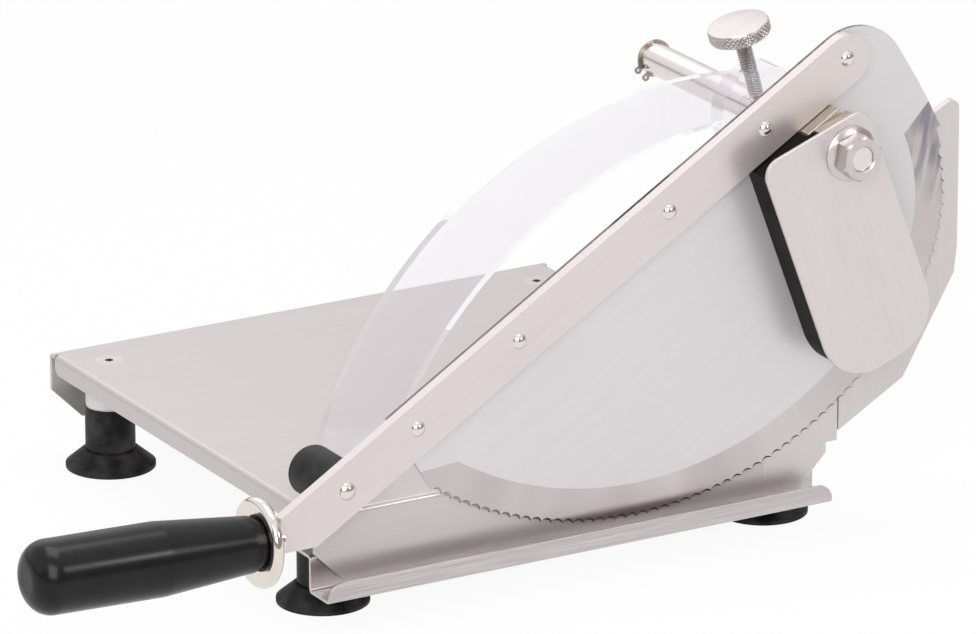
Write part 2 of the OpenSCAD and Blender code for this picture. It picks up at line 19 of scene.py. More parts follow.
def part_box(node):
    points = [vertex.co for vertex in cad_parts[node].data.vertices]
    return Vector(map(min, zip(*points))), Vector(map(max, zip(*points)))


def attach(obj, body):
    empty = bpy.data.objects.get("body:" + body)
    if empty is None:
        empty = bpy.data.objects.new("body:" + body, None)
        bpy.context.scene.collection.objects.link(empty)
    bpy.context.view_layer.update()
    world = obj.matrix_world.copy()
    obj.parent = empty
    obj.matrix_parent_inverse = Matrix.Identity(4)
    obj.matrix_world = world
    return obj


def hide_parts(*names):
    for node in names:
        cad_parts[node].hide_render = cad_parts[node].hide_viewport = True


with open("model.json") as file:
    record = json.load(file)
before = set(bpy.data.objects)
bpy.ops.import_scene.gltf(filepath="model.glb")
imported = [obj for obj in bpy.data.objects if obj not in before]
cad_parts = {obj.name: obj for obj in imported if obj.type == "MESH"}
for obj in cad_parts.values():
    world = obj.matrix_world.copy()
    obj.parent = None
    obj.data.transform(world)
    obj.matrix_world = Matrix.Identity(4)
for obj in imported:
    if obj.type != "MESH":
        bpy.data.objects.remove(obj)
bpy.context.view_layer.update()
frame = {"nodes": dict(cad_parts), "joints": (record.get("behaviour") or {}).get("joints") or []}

Rgb = tuple[float, float, float]
Window = tuple[float, float]
Ring = list[Vector]
Value = float | int | str | bool | tuple | bpy.types.NodeSocket

# Places of the colours among a Mix node's sockets.
MIX_COLOURS = (6, 7)
MIX_RESULT = 2
WELD_REACH = 0.000002
FLAT_ANGLE = math.radians(0.3)
EDGE_ANGLE = math.radians(40)
LEVER_ANGLE = math.radians(31.6)
COVER_ANGLE = math.radians(20.5)
HALF_SIDE = math.radians(30)
LOG = logging.getLogger("bread_slicer")


def joint_place(name: str) -> Vector:
    """Gives the point in the row frame that a joint turns about."""
    return Vector(joint_facts(name)["pos_m"])


def joint_facts(name: str) -> dict:
    """Gives a joint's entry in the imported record."""
    return next(joint for joint in frame["joints"] if joint["name"] == name)


PIVOT = joint_place("lever_pivot")


class Lay(Enum):
    """Direction of the grain in a metal surface: a turn, and lines per metre on each turned axis."""

    ALONG_X = ((0.0, 0.0, 0.0), (40.0, 2600.0, 2600.0))
    ALONG_BAR = ((0.0, LEVER_ANGLE, 0.0), (40.0, 2600.0, 2600.0))
    ALONG_COVER = ((0.0, COVER_ANGLE, 0.0), (2600.0, 2600.0, 40.0))
    ALONG_Z = ((0.0, 0.0, 0.0), (2600.0, 2600.0, 40.0))
    ROUND_Y = ((0.0, 0.0, 0.0), (120.0, 3000.0, 120.0))
    NONE = ((0.0, 0.0, 0.0), (900.0, 900.0, 900.0))

    @property
    def turn(self) -> tuple[float, float, float]:
        """Turn of the grain as Euler angles."""
        return self.value[0]

    @property
    def spread(self) -> tuple[float, float, float]:
        """Lines per metre on each turned axis."""
        return self.value[1]


@dataclass
class NodeSheet:
    """Adds nodes to one node tree and joins them."""

    tree: bpy.types.NodeTree

    def add(
        self,
        kind: str,
        inputs: dict[str | int, Value] | None = None,
        settings: dict[str, Value] | None = None,
    ) -> bpy.types.Node:
        """Adds one node.

        Args:
            kind: The node's type name.
            inputs: Values for its sockets, or the output sockets that feed them.
            settings: Values for its own properties.

        Returns:
            The new node.
        """
        node = self.tree.nodes.new(kind)
        for key, value in (settings or {}).items():
            setattr(node, key, value)
        for key, value in (inputs or {}).items():
            socket = node.inputs[key]
            if isinstance(value, bpy.types.NodeSocket):
                self.tree.links.new(value, socket)
            else:
                socket.default_value = value
        return node

    def math(self, operation: str, *values: Value) -> bpy.types.NodeSocket:
        """Adds a Math node and gives its output."""
        inputs = dict(enumerate(values))
        return self.add("ShaderNodeMath", inputs, {"operation": operation}).outputs[0]

    def remap(
        self, value: Value, low: Value, high: Value, to_low: Value = 0.0, to_high: Value = 1.0
    ) -> bpy.types.NodeSocket:
        """Adds a clamped Map Range node and gives its output."""
        inputs = {"Value": value, "From Min": low, "From Max": high, "To Min": to_low, "To Max": to_high}
        return self.add("ShaderNodeMapRange", inputs).outputs[0]

    def blend(self, share: Value, first: Value, second: Value) -> bpy.types.NodeSocket:
        """Adds a colour Mix node.

        Args:
            share: The share of the second colour.
            first: A colour, or the output socket that gives it.
            second: The other colour.

        Returns:
            The mixed colour.
        """
        inputs: dict[str | int, Value] = {"Factor": share}
        for place, value in zip(MIX_COLOURS, (first, second)):
            linked = isinstance(value, bpy.types.NodeSocket)
            inputs[place] = value if linked else (*value, 1.0)
        return self.add("ShaderNodeMix", inputs, {"data_type": "RGBA"}).outputs[MIX_RESULT]

    def noise(self, place: bpy.types.NodeSocket, scale: Value, detail: float) -> bpy.types.NodeSocket:
        """Adds a Noise Texture and gives its value."""
        inputs = {"Vector": place, "Scale": scale, "Detail": detail}
        return self.add("ShaderNodeTexNoise", inputs).outputs[0]

    def noise_along(
        self, way: bpy.types.NodeSocket, scale: float, detail: float
    ) -> bpy.types.NodeSocket:
        """Adds a Noise Texture that runs along one value and gives its own value."""
        inputs = {"W": way, "Scale": scale, "Detail": detail}
        return self.add("ShaderNodeTexNoise", inputs, {"noise_dimensions": "1D"}).outputs[0]

    def vector(self, operation: str, *values: Value) -> bpy.types.Node:
        """Adds a Vector Math node."""
        return self.add("ShaderNodeVectorMath", dict(enumerate(values)), {"operation": operation})

    def split(self, vector: bpy.types.NodeSocket) -> bpy.types.bpy_prop_collection:
        """Adds a Separate XYZ node and gives its outputs."""
        return self.add("ShaderNodeSeparateXYZ", {0: vector}).outputs


class SurfaceGroups:
    """Shader node groups that the finishes share, each built once."""

    fine_share = 0.6
    broad_scale = 0.16
    grain_detail = 2.0
    grain_window = (0.32, 0.68)
    smudge_detail = 4.0
    smudge_window = (0.35, 0.7)
    open_window = (0.92, 0.55)
    open_samples = 8
    edge_window = (0.995, 0.85)
    edge_samples = 4
    wear_spacing = 160.0
    wear_detail = 3.0
    wear_window = (0.38, 0.62)
    wear_least = 0.25
    skin_detail = 3.0
    mottle_spacing = 90.0
    mottle_detail = 8.0
    mottle_window = (0.35, 0.65)

    def __init__(self) -> None:
        """Builds every group."""
        self.grain = self._grain()
        self.smudge = self._smudge()
        self.wear = self._wear()
        self.painted_recess_shade = self._painted_recess_shade()
        self.moulding = self._moulding()

    @staticmethod
    def _start(
        name: str, inputs: dict[str, str], outputs: list[str]
    ) -> tuple[NodeSheet, dict[str, bpy.types.NodeSocket], bpy.types.Node]:
        """Makes an empty group.

        Args:
            name: The group's name.
            inputs: Each input's name and socket type.
            outputs: The names of its value outputs.

        Returns:
            The sheet to build on, the input sockets by name and the output node.
        """
        tree = bpy.data.node_groups.new(name, "ShaderNodeTree")
        for label, kind in inputs.items():
            tree.interface.new_socket(label, in_out="INPUT", socket_type=kind)
        for label in outputs:
            tree.interface.new_socket(label, in_out="OUTPUT", socket_type="NodeSocketFloat")
        sheet = NodeSheet(tree)
        entry = sheet.add("NodeGroupInput")
        leave = sheet.add("NodeGroupOutput")
        return sheet, {label: entry.outputs[label] for label in inputs}, leave

    def _grain(self) -> bpy.types.NodeTree:
        """Builds fine brushed lines with broader bands under them.

        Returns:
            The group, which puts out Streaks.
        """
        inputs = {"Place": "NodeSocketVector", "Turn": "NodeSocketVector", "Spread": "NodeSocketVector"}
        sheet, given, leave = self._start("brushed_grain", inputs, ["Streaks"])
        turned = sheet.add(
            "ShaderNodeVectorRotate",
            {"Vector": given["Place"], "Rotation": given["Turn"]},
            {"rotation_type": "EULER_XYZ"},
        )
        spread = sheet.vector("MULTIPLY", turned.outputs[0], given["Spread"]).outputs[0]
        fine = sheet.noise(spread, 1.0, self.grain_detail)
        broad = sheet.noise(spread, self.broad_scale, self.grain_detail)
        both = sheet.math(
            "ADD",
            sheet.math("MULTIPLY", fine, self.fine_share),
            sheet.math("MULTIPLY", broad, 1.0 - self.fine_share),
        )
        streaks = sheet.remap(both, *self.grain_window)
        sheet.tree.links.new(streaks, leave.inputs["Streaks"])
        return sheet.tree

    def _smudge(self) -> bpy.types.NodeTree:
        """Builds soft patches where hands and cloths have dulled the surface.

        Returns:
            The group, which puts out Roughness.
        """
        inputs = {
            "Place": "NodeSocketVector",
            "Spacing": "NodeSocketFloat",
            "Low": "NodeSocketFloat",
            "High": "NodeSocketFloat",
        }
        sheet, given, leave = self._start("smudge", inputs, ["Roughness"])
        patches = sheet.noise(given["Place"], given["Spacing"], self.smudge_detail)
        rough = sheet.remap(patches, *self.smudge_window, given["Low"], given["High"])
        sheet.tree.links.new(rough, leave.inputs["Roughness"])
        return sheet.tree

    def _painted_recess_shade(self) -> bpy.types.NodeTree:
        """Builds a mask of painted shade for grooves and inside corners, strongest where least is open
        around them.

        Returns:
            The group, which puts out the painted shade.
        """
        sheet, given, leave = self._start("painted_recess_shade", {"Reach": "NodeSocketFloat"}, ["Recess"])
        open_share = sheet.add(
            "ShaderNodeAmbientOcclusion",
            {"Distance": given["Reach"]},
            {"samples": self.open_samples, "only_local": True},
        ).outputs["AO"]
        # Painted shade: the less open a point is, the darker it is painted.
        painted_recess_shade = sheet.remap(open_share, *self.open_window)
        sheet.tree.links.new(painted_recess_shade, leave.inputs["Recess"])
        return sheet.tree

    def _wear(self) -> bpy.types.NodeTree:
        """Builds worn outer edges, broken up by noise.

        Returns:
            The group, which puts out Wear.
        """
        inputs = {"Place": "NodeSocketVector", "Width": "NodeSocketFloat"}
        sheet, given, leave = self._start("edge_wear", inputs, ["Wear"])
        rounded = sheet.add(
            "ShaderNodeBevel", {"Radius": given["Width"]}, {"samples": self.edge_samples}
        )
        flat = sheet.add("ShaderNodeNewGeometry").outputs["Normal"]
        match = sheet.vector("DOT_PRODUCT", rounded.outputs[0], flat).outputs["Value"]
        edge = sheet.remap(match, *self.edge_window)
        spots = sheet.noise(given["Place"], self.wear_spacing, self.wear_detail)
        patches = sheet.remap(spots, *self.wear_window, self.wear_least)
        sheet.tree.links.new(sheet.math("MULTIPLY", edge, patches), leave.inputs["Wear"])
        return sheet.tree

    def _moulding(self) -> bpy.types.NodeTree:
        """Builds fine moulded skin, with slow mottling under it.

        Returns:
            The group, which puts out Skin and Mottle.
        """
        inputs = {"Place": "NodeSocketVector", "Spacing": "NodeSocketFloat"}
        sheet, given, leave = self._start("moulded_skin", inputs, ["Skin", "Mottle"])
        skin = sheet.noise(given["Place"], given["Spacing"], self.skin_detail)
        clouds = sheet.noise(given["Place"], self.mottle_spacing, self.mottle_detail)
        mottle = sheet.remap(clouds, *self.mottle_window)
        sheet.tree.links.new(skin, leave.inputs["Skin"])
        sheet.tree.links.new(mottle, leave.inputs["Mottle"])
        return sheet.tree


GROUPS = SurfaceGroups()


def start_material(
    name: str,
) -> tuple[bpy.types.Material, NodeSheet, bpy.types.Node, bpy.types.NodeSocket]:
    """Makes a material with a Principled shader.

    Args:
        name: The material's name.

    Returns:
        The material, the sheet of its nodes, its shader and the object's own coordinates.
    """
    material = bpy.data.materials.new(name)
    material.use_nodes = True
    sheet = NodeSheet(material.node_tree)
    shader = material.node_tree.nodes["Principled BSDF"]
    place = sheet.add("ShaderNodeTexCoord").outputs["Object"]
    return material, sheet, shader, place


def place_group(sheet: NodeSheet, group: bpy.types.NodeTree, inputs: dict[str, Value]) -> bpy.types.Node:
    """Places a shared group in a material and sets its inputs."""
    return sheet.add("ShaderNodeGroup", inputs, {"node_tree": group})


def smudged(
    sheet: NodeSheet, place: bpy.types.NodeSocket, spacing: float, rough: Window
) -> bpy.types.NodeSocket:
    """Places the smudge group and gives its roughness."""
    inputs = {"Place": place, "Spacing": spacing, "Low": rough[0], "High": rough[1]}
    return place_group(sheet, GROUPS.smudge, inputs).outputs["Roughness"]


def worn_edges(sheet: NodeSheet, place: bpy.types.NodeSocket, width: float) -> bpy.types.NodeSocket:
    """Places the wear group and gives its mask."""
    return place_group(sheet, GROUPS.wear, {"Place": place, "Width": width}).outputs["Wear"]


def feed(sheet: NodeSheet, shader: bpy.types.Node, sockets: dict[str, bpy.types.NodeSocket]) -> None:
    """Joins output sockets to the shader's inputs by name."""
    for name, socket in sockets.items():
        sheet.tree.links.new(socket, shader.inputs[name])


def bump(
    sheet: NodeSheet, height: bpy.types.NodeSocket, strength: float, depth: float
) -> bpy.types.NodeSocket:
    """Adds a Bump node over a height and gives its normal."""
    inputs = {"Height": height, "Strength": strength, "Distance": depth}
    return sheet.add("ShaderNodeBump", inputs).outputs[0]


@dataclass(frozen=True)
class SteelFinish:
    """Brushed, turned or plated metal."""

    name: str
    deep: Rgb
    bright: Rgb
    rough: Window
    lay: Lay = Lay.ALONG_X
    relief: float = 0.03
    worn: Rgb = (0.78, 0.75, 0.75)
    wear_width: float = 0.0005
    patches: float = 14.0
    metal: float = 1.0
    scratch: float = 0.00002

    def material(self) -> bpy.types.Material:
        """Builds the material.

        Returns:
            The material.
        """
        material, sheet, shader, place = start_material(self.name)
        grain = place_group(
            sheet, GROUPS.grain, {"Place": place, "Turn": self.lay.turn, "Spread": self.lay.spread}
        ).outputs["Streaks"]
        wear = worn_edges(sheet, place, self.wear_width)
        rough = smudged(sheet, place, self.patches, self.rough)
        colour = self.colour(sheet, sheet.blend(grain, self.deep, self.bright))
        worn = sheet.blend(wear, colour, self.worn)
        normal = bump(sheet, grain, self.relief, self.scratch)
        shader.inputs["Metallic"].default_value = self.metal
        feed(sheet, shader, {"Base Color": worn, "Normal": normal, **self.polish(sheet, rough)})
        return material

    def polish(self, sheet: NodeSheet, rough: bpy.types.NodeSocket) -> dict[str, bpy.types.NodeSocket]:
        """Gives what feeds the shader's polish, which for plain metal is the roughness."""
        return {"Roughness": rough}

    def colour(self, sheet: NodeSheet, base: bpy.types.NodeSocket) -> bpy.types.NodeSocket:
        """Gives the colour under the wear, which for plain metal is the grain's."""
        return base


@dataclass(frozen=True)
class PlatedFinish(SteelFinish):
    """Plated metal with painted shade in its grooves and inside corners."""

    # The colour of the shade painted into grooves and inside corners.
    recess_shade_colour: Rgb = (0.11, 0.08, 0.055)
    reach: float = 0.0015

    def colour(self, sheet: NodeSheet, base: bpy.types.NodeSocket) -> bpy.types.NodeSocket:
        """Paints shade into the recesses."""
        # Painted shade in the grooves and corners.
        painted_recess_shade = place_group(sheet, GROUPS.painted_recess_shade, {"Reach": self.reach}).outputs["Recess"]
        return sheet.blend(painted_recess_shade, base, self.recess_shade_colour)


@dataclass(frozen=True)
class GroundEdgeFinish(SteelFinish):
    """Blade steel whose bevel is ground along the cutting edge.

    Angles turn about the middle of the edge's long arc, from the right, in radians.
    """

    centre: Vector = Vector((0.0, 0.0, 0.0))
    # Ends of the bevel's painted reflection: broad patches along the arc blend between them.
    ground_deep: Rgb = (0.52, 0.475, 0.465)
    ground_bright: Rgb = (0.64, 0.59, 0.585)
    # Colour of the dark streaks of reflection painted on the bevel near its heel.
    heel_reflection_deep: Rgb = (0.28, 0.265, 0.305)
    # Colour of the shade painted into the hollows and onto the top edge.
    painted_shade_deep: Rgb = (0.05, 0.042, 0.038)
    ground_rough: float = 0.3
    ground_lean: Window = (0.9994, 0.9990)
    sweep_scale: float = 3.2
    sweep_window: Window = (0.36, 0.64)
    sweep_most: float = 0.9
    line_scale: float = 900.0
    line_window: Window = (0.3, 0.7)
    line_share: float = 0.12
    heel_angles: Window = (-0.4, -0.25)
    band_scale: tuple[float, float] = (190.0, 6.0)
    band_window: Window = (0.4, 0.6)
    hollow_lean: Window = (0.95, 0.85)
    hollow_start: Window = (-2.0, -1.8)
    hollow_end: Window = (-1.0, -0.7)
    start_least: float = 0.2
    end_least: float = 0.15
    top_lean: Window = (0.4, 0.6)
    top_share: float = 0.75

    @staticmethod
    def normal(sheet: NodeSheet) -> bpy.types.bpy_prop_collection:
        """Gives the parts of the blade's own normal."""
        return sheet.split(sheet.add("ShaderNodeTexCoord").outputs["Normal"])

    def ground(self, sheet: NodeSheet) -> bpy.types.NodeSocket:
        """Gives 1 on the faces that lean away from the blade's flat sides."""
        lean = sheet.math("ABSOLUTE", self.normal(sheet)["Y"])
        return sheet.remap(lean, *self.ground_lean)

    def polish(self, sheet: NodeSheet, rough: bpy.types.NodeSocket) -> dict[str, bpy.types.NodeSocket]:
        """Makes the ground faces brighter metal than the flat sides.

        Args:
            sheet: The material's nodes.
            rough: The roughness of the flat sides.

        Returns:
            What feeds the shader's roughness and metal.
        """
        ground = self.ground(sheet)
        return {
            "Roughness": sheet.remap(ground, 0.0, 1.0, rough, self.ground_rough),
            "Metallic": sheet.remap(ground, 0.0, 1.0, self.metal, 1.0),
        }

    def colour(self, sheet: NodeSheet, base: bpy.types.NodeSocket) -> bpy.types.NodeSocket:
        """Darkens the bevel, paints reflection onto it, and paints shade into the hollows low on the
        edge and onto the top edge.

        Args:
            sheet: The material's nodes.
            base: The colour of the flat sides.

        Returns:
            The colour of the whole blade.
        """
        place = sheet.add("ShaderNodeTexCoord").outputs["Object"]
        offset = sheet.vector("SUBTRACT", place, tuple(self.centre)).outputs[0]
        arm = sheet.split(offset)
        angle = sheet.math("ARCTAN2", arm["Z"], arm["X"])
        reach = sheet.vector("LENGTH", offset).outputs["Value"]
        whole = sheet.blend(self.ground(sheet), base, self.bevel(sheet, angle, reach))
        # The hollows and the top edge get painted shade over the rest.
        return sheet.blend(self.cut(sheet, angle), whole, self.painted_shade_deep)

    def bevel(
        self, sheet: NodeSheet, angle: bpy.types.NodeSocket, reach: bpy.types.NodeSocket
    ) -> bpy.types.NodeSocket:
        """Draws fine grinding lines across the bevel, over painted reflection: broad light and dark
        patches along the arc and dark streaks at the heel.

        Args:
            sheet: The material's nodes.
            angle: The angle round the arc's middle.
            reach: The distance from it.

        Returns:
            The colour of the bevel.
        """
        # The broad patches along the arc are painted reflection; the fine lines are grinding.
        reflection_sweep = sheet.noise_along(angle, self.sweep_scale, detail=2.0)
        lines = sheet.noise_along(angle, self.line_scale, detail=1.0)
        share = sheet.math(
            "ADD",
            sheet.remap(reflection_sweep, *self.sweep_window, 0.0, self.sweep_most),
            sheet.remap(lines, *self.line_window, -self.line_share, self.line_share),
        )
        plain = sheet.blend(share, self.ground_deep, self.ground_bright)
        across, around = self.band_scale
        along = sheet.add(
            "ShaderNodeCombineXYZ",
            {0: sheet.math("MULTIPLY", reach, across), 1: sheet.math("MULTIPLY", angle, around)},
        ).outputs[0]
        # Painted reflection: dark streaks across the bevel near its heel.
        bands = sheet.remap(sheet.noise(along, 1.0, 1.0), *self.band_window)
        heel = sheet.math("MULTIPLY", sheet.remap(angle, *self.heel_angles), bands)
        return sheet.blend(heel, plain, self.heel_reflection_deep)

    def cut(self, sheet: NodeSheet, angle: bpy.types.NodeSocket) -> bpy.types.NodeSocket:
        """Masks the shade painted into the hollows low on the edge and onto the top edge.

        Args:
            sheet: The material's nodes.
            angle: The angle round the arc's middle.

        Returns:
            The share of the painted shade.
        """
        normal = self.normal(sheet)
        lean = sheet.math("ABSOLUTE", normal["Y"])
        # Painted shade in the hollows, strongest low on the long arc.
        low = sheet.math(
            "MULTIPLY",
            sheet.remap(angle, *self.hollow_start, self.start_least),
            sheet.remap(angle, *self.hollow_end, 1.0, self.end_least),
        )
        hollow = sheet.math("MULTIPLY", sheet.remap(lean, *self.hollow_lean), low)
        # Painted shade on the blade's top edge, which faces up.
        top = sheet.remap(normal["Z"], *self.top_lean, 0.0, self.top_share)
        return sheet.math("MAXIMUM", hollow, top)


@dataclass(frozen=True)
class MouldedFinish:
    """Moulded plastic or rubber."""

    name: str
    deep: Rgb
    bright: Rgb
    rough: Window
    skin: float = 2400.0
    relief: float = 0.15
    worn: Rgb = (0.06, 0.06, 0.063)
    wear_share: float = 0.5
    shine: float = 0.5
    wear_width: float = 0.0006
    patches: float = 30.0
    depth: float = 0.00005

    def material(self) -> bpy.types.Material:
        """Builds the material.

        Returns:
            The material.
        """
        material, sheet, shader, place = start_material(self.name)
        skin = place_group(sheet, GROUPS.moulding, {"Place": place, "Spacing": self.skin})
        wear = worn_edges(sheet, place, self.wear_width)
        rough = smudged(sheet, place, self.patches, self.rough)
        colour = sheet.blend(skin.outputs["Mottle"], self.deep, self.bright)
        worn = sheet.blend(sheet.math("MULTIPLY", wear, self.wear_share), colour, self.worn)
        normal = bump(sheet, skin.outputs["Skin"], self.relief, self.depth)
        feed(sheet, shader, {"Base Color": worn, "Roughness": rough, "Normal": normal})
        shader.inputs["Specular IOR Level"].default_value = self.shine
        return material


@dataclass(frozen=True)
class ClearFinish:
    """Thin clear plastic with a faint milky veil and wiped smears."""

    name: str
    deep: Rgb = (0.965, 0.957, 0.985)
    bright: Rgb = (0.975, 0.967, 0.995)
    rough: Window = (0.01, 0.03)
    index: float = 1.06
    clearness: float = 0.88
    polish: float = 1.0
    skin: float = 400.0
    patches: float = 22.0

    def material(self) -> bpy.types.Material:
        """Builds the material.

        Returns:
            The material.
        """
        material, sheet, shader, place = start_material(self.name)
        skin = place_group(sheet, GROUPS.moulding, {"Place": place, "Spacing": self.skin})
        rough = smudged(sheet, place, self.patches, self.rough)
        colour = sheet.blend(skin.outputs["Mottle"], self.deep, self.bright)
        feed(sheet, shader, {"Base Color": colour, "Roughness": rough})
        shader.inputs["Transmission Weight"].default_value = self.clearness
        shader.inputs["IOR"].default_value = self.index
        shader.inputs["Coat Weight"].default_value = self.polish
        return material


def lever_point(along: float, across: float, depth: float = 0.0) -> Vector:
    """Gives the place of a point set out along and across the bar, behind the blade's front."""
    turn = Matrix.Rotation(-LEVER_ANGLE, 3, "Y")
    return PIVOT + turn @ Vector((along, depth, across))


ARC_ALONG = -0.0773
ARC_ACROSS = 0.0759
BLADE_CENTRE = lever_point(ARC_ALONG, ARC_ACROSS)


class Finish(Enum):
    """The finishes of the slicer."""

    BOARD = SteelFinish(
        "brushed_board", (0.555, 0.51, 0.51), (0.59, 0.545, 0.545), (0.29, 0.37), metal=0.5
    )
    GUTTER = SteelFinish("brushed_gutter", (0.46, 0.425, 0.42), (0.66, 0.625, 0.625), (0.29, 0.36))
    UPRIGHT = SteelFinish(
        "brushed_upright",
        (0.63, 0.58, 0.585),
        (0.67, 0.62, 0.625),
        (0.32, 0.40),
        Lay.ALONG_Z,
        metal=0.7,
    )
    BLADE = GroundEdgeFinish(
        "ground_blade",
        (0.675, 0.64, 0.65),
        (0.705, 0.67, 0.68),
        (0.32, 0.40),
        Lay.ALONG_BAR,
        metal=0.5,
        centre=BLADE_CENTRE,
    )
    BAR = SteelFinish(
        "brushed_bar",
        (0.68, 0.62, 0.61),
        (0.725, 0.665, 0.655),
        (0.32, 0.40),
        Lay.ALONG_BAR,
        metal=0.6,
    )
    COVER = SteelFinish(
        "brushed_cover",
        (0.655, 0.60, 0.605),
        (0.70, 0.645, 0.65),
        (0.32, 0.40),
        Lay.ALONG_COVER,
        metal=0.6,
    )
    TURNED = SteelFinish(
        "turned_steel", (0.72, 0.67, 0.66), (0.79, 0.74, 0.73), (0.19, 0.26), Lay.ROUND_Y
    )
    MILLED = SteelFinish(
        "milled_block", (0.54, 0.49, 0.42), (0.64, 0.59, 0.52), (0.30, 0.40), Lay.ALONG_Z
    )
    POLISHED = PlatedFinish(
        "polished_plate", (0.74, 0.69, 0.65), (0.80, 0.75, 0.71), (0.10, 0.18), Lay.NONE, 0.02
    )
    FERRULE = PlatedFinish(
        "polished_ferrule",
        (0.72, 0.66, 0.61),
        (0.79, 0.73, 0.68),
        (0.08, 0.15),
        Lay.NONE,
        0.02,
        # The long reach paints shade and the grip's dark reflection onto the ferrule beside the grip.
        recess_shade_colour=(0.10, 0.07, 0.05),
        reach=0.006,
    )
    NICKEL = PlatedFinish(
        "satin_nickel",
        (0.58, 0.535, 0.525),
        (0.67, 0.625, 0.615),
        (0.29, 0.36),
        Lay.NONE,
        recess_shade_colour=(0.05, 0.036, 0.025),
    )
    SPRING = PlatedFinish(
        "spring_steel", (0.32, 0.28, 0.24), (0.46, 0.42, 0.37), (0.29, 0.38), Lay.NONE
    )
    BRONZE = SteelFinish(
        "bearing_bronze",
        (0.46, 0.29, 0.12),
        (0.62, 0.42, 0.20),
        (0.28, 0.42),
        Lay.ROUND_Y,
        worn=(0.75, 0.55, 0.30),
    )
    GRIP = MouldedFinish(
        "grip_plastic",
        (0.004, 0.004, 0.005),
        (0.007, 0.007, 0.008),
        (0.22, 0.27),
        relief=0.04,
        shine=0.28,
    )
    PAD = MouldedFinish(
        "pad_plastic", (0.003, 0.003, 0.003), (0.006, 0.005, 0.005), (0.40, 0.55), shine=0.08
    )
    FOOT = MouldedFinish(
        "foot_rubber",
        (0.003, 0.003, 0.003),
        (0.042, 0.040, 0.042),
        (0.44, 0.58),
        wear_share=0.3,
        shine=0.16,
    )
    BUFFER = MouldedFinish(
        "buffer_rubber", (0.006, 0.006, 0.006), (0.026, 0.025, 0.026), (0.46, 0.62), shine=0.25
    )
    NYLON = MouldedFinish(
        "sleeve_nylon", (0.74, 0.73, 0.71), (0.84, 0.83, 0.81), (0.34, 0.46), worn=(0.9, 0.89, 0.87)
    )
    CLEAR = ClearFinish("clear_acrylic")


class Finishes:
    """The built materials by finish."""

    def __init__(self) -> None:
        """Builds each material once."""
        self._made = {finish: finish.value.material() for finish in Finish}

    def dress(self, finish: Finish, *names: str) -> None:
        """Gives CAD nodes a finish.

        Args:
            finish: The finish to give.
            names: The CAD nodes.
        """
        for name in names:
            node = frame["nodes"][name]
            node.data.materials.clear()
            node.data.materials.append(self._made[finish])
            LOG.info("dressed %s as %s", name, finish.value.name)

    def paint(self, piece: bpy.types.Object, finish: Finish) -> None:
        """Gives a new piece a finish."""
        piece.data.materials.append(self._made[finish])


def soften(name: str, width: float, segments: int = 2) -> None:
    """Rounds the sharp edges of a CAD node through modifiers, which leave its own mesh alone.

    Args:
        name: The CAD node.
        width: The width of the rounded edge.
        segments: The faces across it.
    """
    node = frame["nodes"][name]
    weld = node.modifiers.new("weld", "WELD")
    weld.merge_threshold = WELD_REACH
    flat = node.modifiers.new("flat", "DECIMATE")
    flat.decimate_type = "DISSOLVE"
    flat.angle_limit = FLAT_ANGLE
    edge = node.modifiers.new("edge", "BEVEL")
    edge.width = width
    edge.segments = segments
    edge.limit_method = "ANGLE"
    edge.angle_limit = EDGE_ANGLE
    edge.harden_normals = True
    node.modifiers.new("normals", "WEIGHTED_NORMAL")


def ring(radius: Callable[[float], float], height: float, sides: int) -> Ring:
    """Gives a ring of points round Z.

    Args:
        radius: The radius at each angle.
        height: The height of the ring.
        sides: The number of points.

    Returns:
        The points in order.
    """
    points = []
    for step in range(sides):
        angle = math.tau * step / sides
        reach = radius(angle)
        points.append(Vector((reach * math.cos(angle), reach * math.sin(angle), height)))
    return points


def even(radius: float) -> Callable[[float], float]:
    """Gives a radius that is the same all round."""
    return lambda angle: radius


def mesh_piece(name: str, work: bmesh.types.BMesh) -> bpy.types.Object:
    """Makes an object of a finished mesh and frees the mesh's workspace.

    Args:
        name: The object's name.
        work: The finished mesh.

    Returns:
        The new object.
    """
    mesh = bpy.data.meshes.new(name)
    work.to_mesh(mesh)
    work.free()
    piece = bpy.data.objects.new(name, mesh)
    bpy.context.scene.collection.objects.link(piece)
    return piece


def carve(name: str, plain: bpy.types.Object, tools: list[bpy.types.Object]) -> bpy.types.Object:
    """Cuts tools out of a piece; neither the plain piece nor the tools are kept.

    Args:
        name: The name of the carved piece.
        plain: The piece to cut.
        tools: What is cut away, one after the other.

    Returns:
        The carved piece, with flat faces.
    """
    for tool in tools:
        cut = plain.modifiers.new(tool.name, "BOOLEAN")
        cut.operation = "DIFFERENCE"
        cut.solver = "EXACT"
        cut.object = tool
    bpy.context.view_layer.update()
    ready = plain.evaluated_get(bpy.context.evaluated_depsgraph_get())
    mesh = bpy.data.meshes.new_from_object(ready)
    if not mesh.polygons:
        raise RuntimeError(f"nothing is left of {name}")
    piece = bpy.data.objects.new(name, mesh)
    bpy.context.scene.collection.objects.link(piece)
    for spare in (plain, *tools):
        bpy.data.meshes.remove(spare.data)
    mesh.materials.clear()
    mesh.polygons.foreach_set("use_smooth", [False] * len(mesh.polygons))
    return piece


